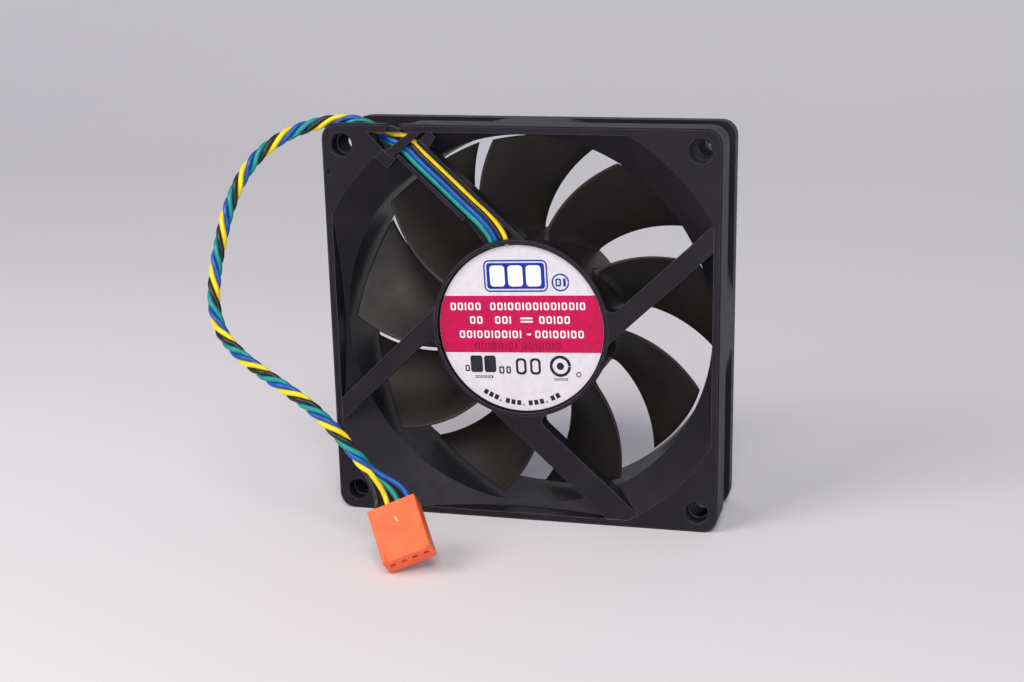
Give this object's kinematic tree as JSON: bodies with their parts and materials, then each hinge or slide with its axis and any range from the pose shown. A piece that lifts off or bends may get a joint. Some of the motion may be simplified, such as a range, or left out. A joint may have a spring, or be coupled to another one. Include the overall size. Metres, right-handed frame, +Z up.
{
  "type": "case fan",
  "caption": "Square axial case fan with a swept-blade impeller, front motor struts, and a twisted multi-wire lead ending in an orange-red plug.",
  "frame": {"origin": "the ground under the middle of the fan, which stands on its bottom edge", "axes": "-Y is the label side the lead comes from, +Y the open impeller side, +Z up, +X to the right seen from the label side"},
  "size_m": [0.1154, 0.0678, 0.0935],
  "materials": {
    "frame_plastic": "fine matte moulded, dark grey",
    "label": "smooth printed sticker",
    "blade_plastic": "satin moulded, near black",
    "wire_yellow": "smooth insulation",
    "wire_black": "smooth insulation",
    "wire_green": "smooth insulation",
    "wire_blue": "smooth insulation",
    "plug_plastic": "satin moulded, orange-red",
    "terminal_metal": "tin plated",
    "steel": "bare",
    "lamination_steel": "stacked sheets",
    "magnet": "matt dark ferrite",
    "brass": "turned",
    "nylon": "natural",
    "seal_rubber": "matt",
    "copper": "enamelled winding",
    "circuit_board": "solder mask",
    "chip": "moulded",
    "capacitor": "bare",
    "resistor": "coated"
  },
  "bodies": {
    "housing": {"frame": "frame_plastic", "label": "label", "wire_yellow": "wire_yellow", "wire_black": "wire_black", "wire_green": "wire_green", "wire_blue": "wire_blue", "connector_housing": "plug_plastic", "terminal_1": "terminal_metal", "terminal_2": "terminal_metal", "terminal_3": "terminal_metal", "terminal_4": "terminal_metal", "bearing_sleeve": "brass", "oil_seal": "nylon", "thrust_pad": "nylon", "bearing_cap": "seal_rubber", "stator_core": "lamination_steel", "insulator_front": "nylon", "insulator_rear": "nylon", "coil_1": "copper", "coil_2": "copper", "coil_3": "copper", "coil_4": "copper", "circuit_board": "circuit_board", "driver_chip": "chip", "hall_sensor": "chip", "capacitor": "capacitor", "resistor": "resistor"},
    "rotor": {"impeller": "blade_plastic", "rotor_yoke": "steel", "ring_magnet": "magnet", "shaft": "steel", "shaft_bushing": "brass", "retaining_ring": "nylon"}
  },
  "joints": [
    {"name": "rotor_spin", "type": "hinge", "parent": "housing", "child": "rotor", "pos_m": [0, 0, 0.046], "axis": [0, 1, 0], "continuous": true}
  ]
}
